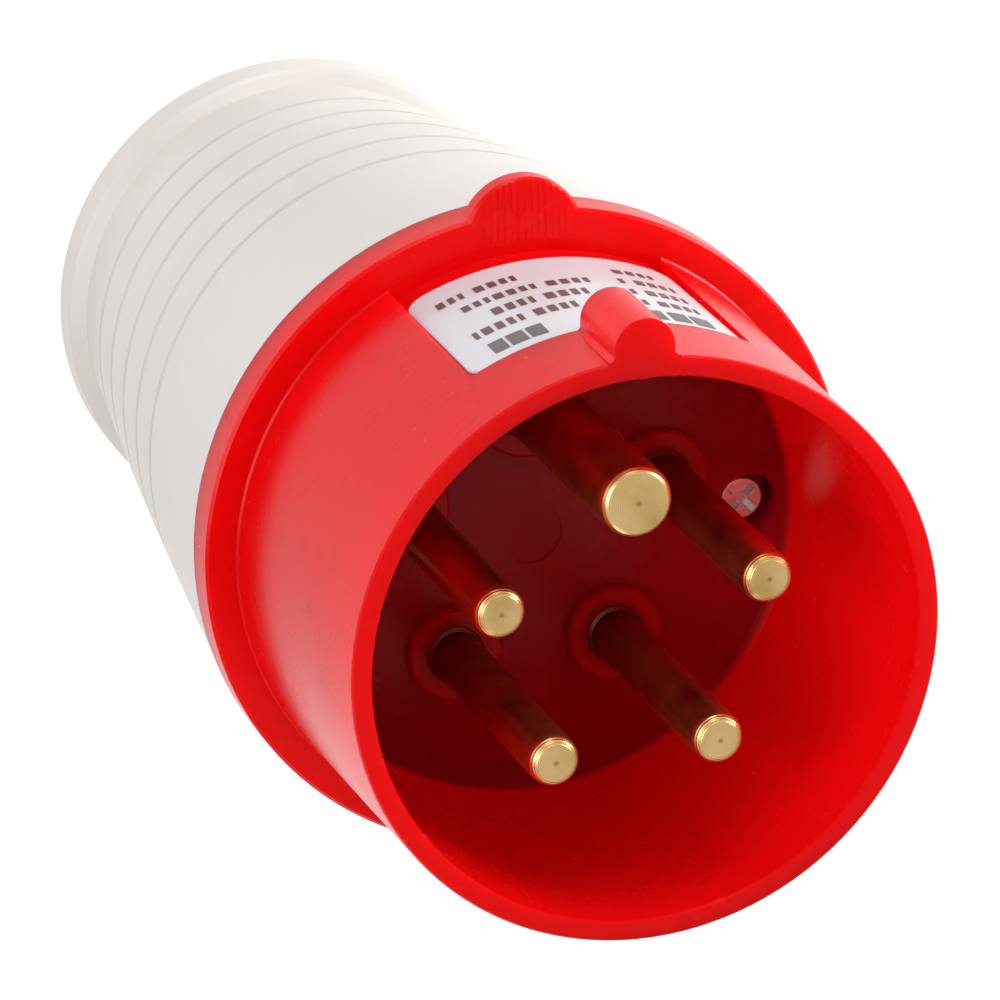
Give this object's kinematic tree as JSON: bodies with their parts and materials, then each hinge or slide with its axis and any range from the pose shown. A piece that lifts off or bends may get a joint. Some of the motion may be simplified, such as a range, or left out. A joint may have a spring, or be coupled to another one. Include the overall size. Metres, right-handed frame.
{
  "type": "industrial pin and sleeve plug",
  "caption": "Industrial pin and sleeve plug with a round red shroud, a key rib, brass contact pins and a tapered light grey rear cover with grip grooves and a cable gland.",
  "frame": {"origin": "on the plug's axis, at the rear end of the cover, where the cable enters", "axes": "+Z along the axis from the cable entry to the mouth, -Y towards the key rib and the label, +X so that the frame is right-handed"},
  "size_m": [0.0646, 0.0678, 0.115],
  "materials": {
    "red_moulding": "glossy",
    "label": "glossy",
    "brass": "turned",
    "plated_steel": "nickel plated",
    "dark_moulding": "matte",
    "seal_rubber": "matte",
    "grey_moulding": "satin",
    "nut_moulding": "satin"
  },
  "bodies": {
    "root": {"front_housing": "red_moulding", "rating_label": "label", "earth_pin": "brass", "pin_l1": "brass", "pin_l2": "brass", "pin_l3": "brass", "pin_neutral": "brass", "terminal_screws": "plated_steel", "earth_terminal_screw": "plated_steel", "contact_carrier": "dark_moulding", "carrier_screws": "plated_steel", "flange_gasket": "seal_rubber", "rear_cover": "grey_moulding", "housing_screws": "plated_steel", "screw_seals": "seal_rubber", "clamp_bridge": "dark_moulding", "clamp_screws": "plated_steel", "clamp_nuts": "plated_steel", "gland_seal": "seal_rubber", "gland_washer": "plated_steel", "gland_nut": "nut_moulding"}
  },
  "joints": []
}
